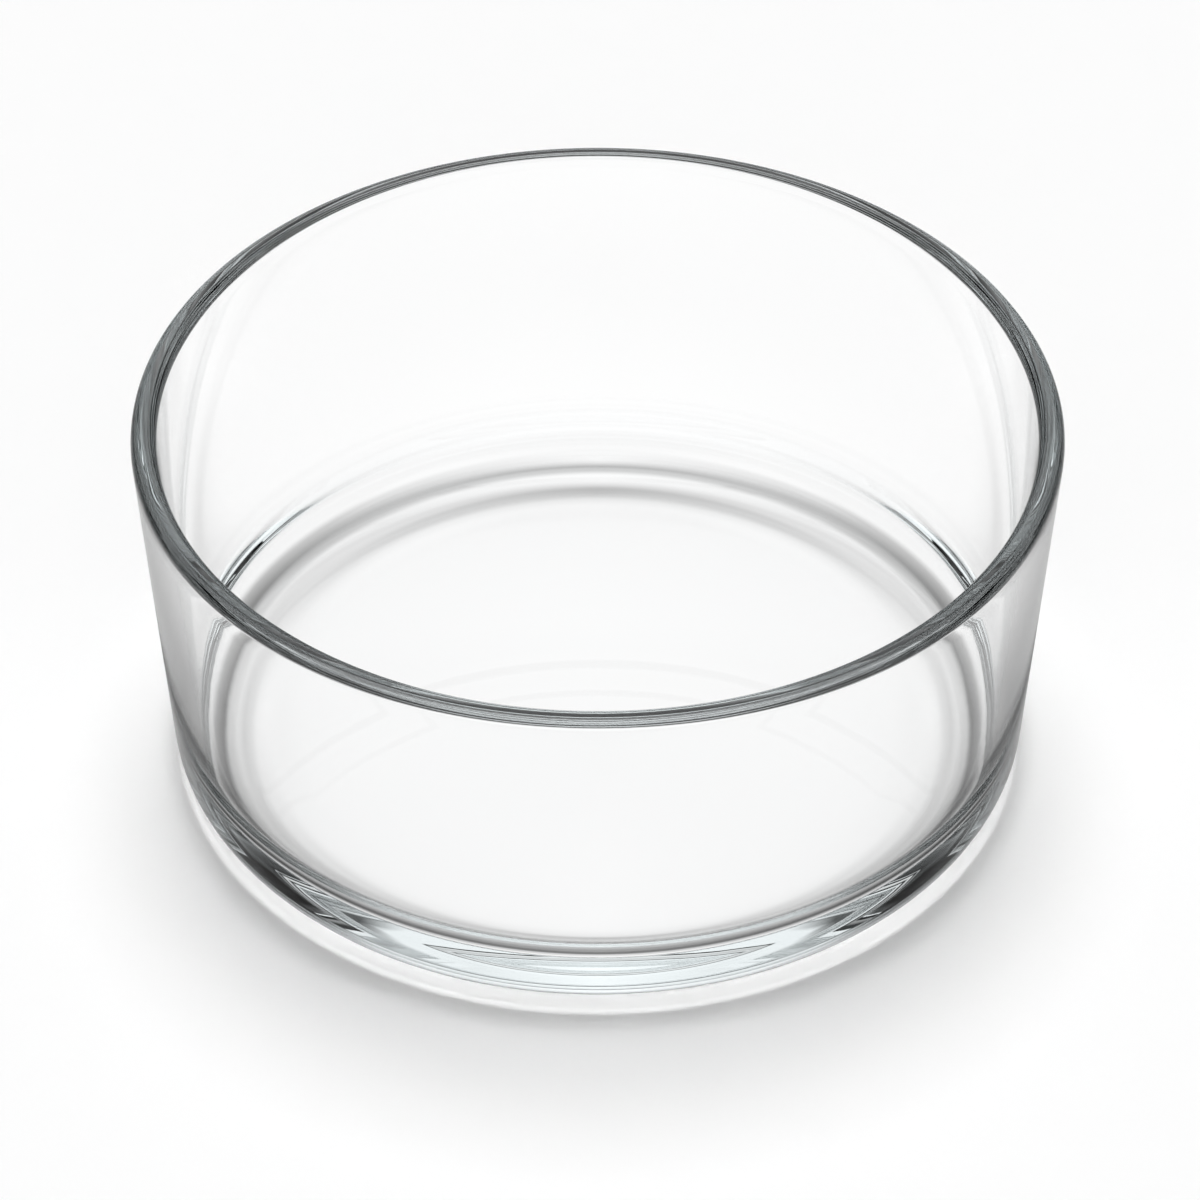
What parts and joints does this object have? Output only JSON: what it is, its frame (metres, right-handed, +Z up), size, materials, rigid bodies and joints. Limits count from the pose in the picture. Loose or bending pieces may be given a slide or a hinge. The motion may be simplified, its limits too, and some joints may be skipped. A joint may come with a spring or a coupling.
{
  "type": "glass bowl",
  "caption": "Round clear glass serving bowl with nearly upright walls, a rounded rim and a thick base on a shallow standing ring.",
  "frame": {"origin": "centre of the ring that the bowl stands on, in the plane of the table", "axes": "+Z up along the bowl's axis of symmetry, towards the mouth; +X and +Y are any two square directions, since the bowl is round"},
  "size_m": [0.2, 0.2, 0.0858],
  "materials": {
    "clear_glass": "clear, fire-polished"
  },
  "bodies": {
    "root": {"glass_bowl": "clear_glass"}
  },
  "joints": []
}
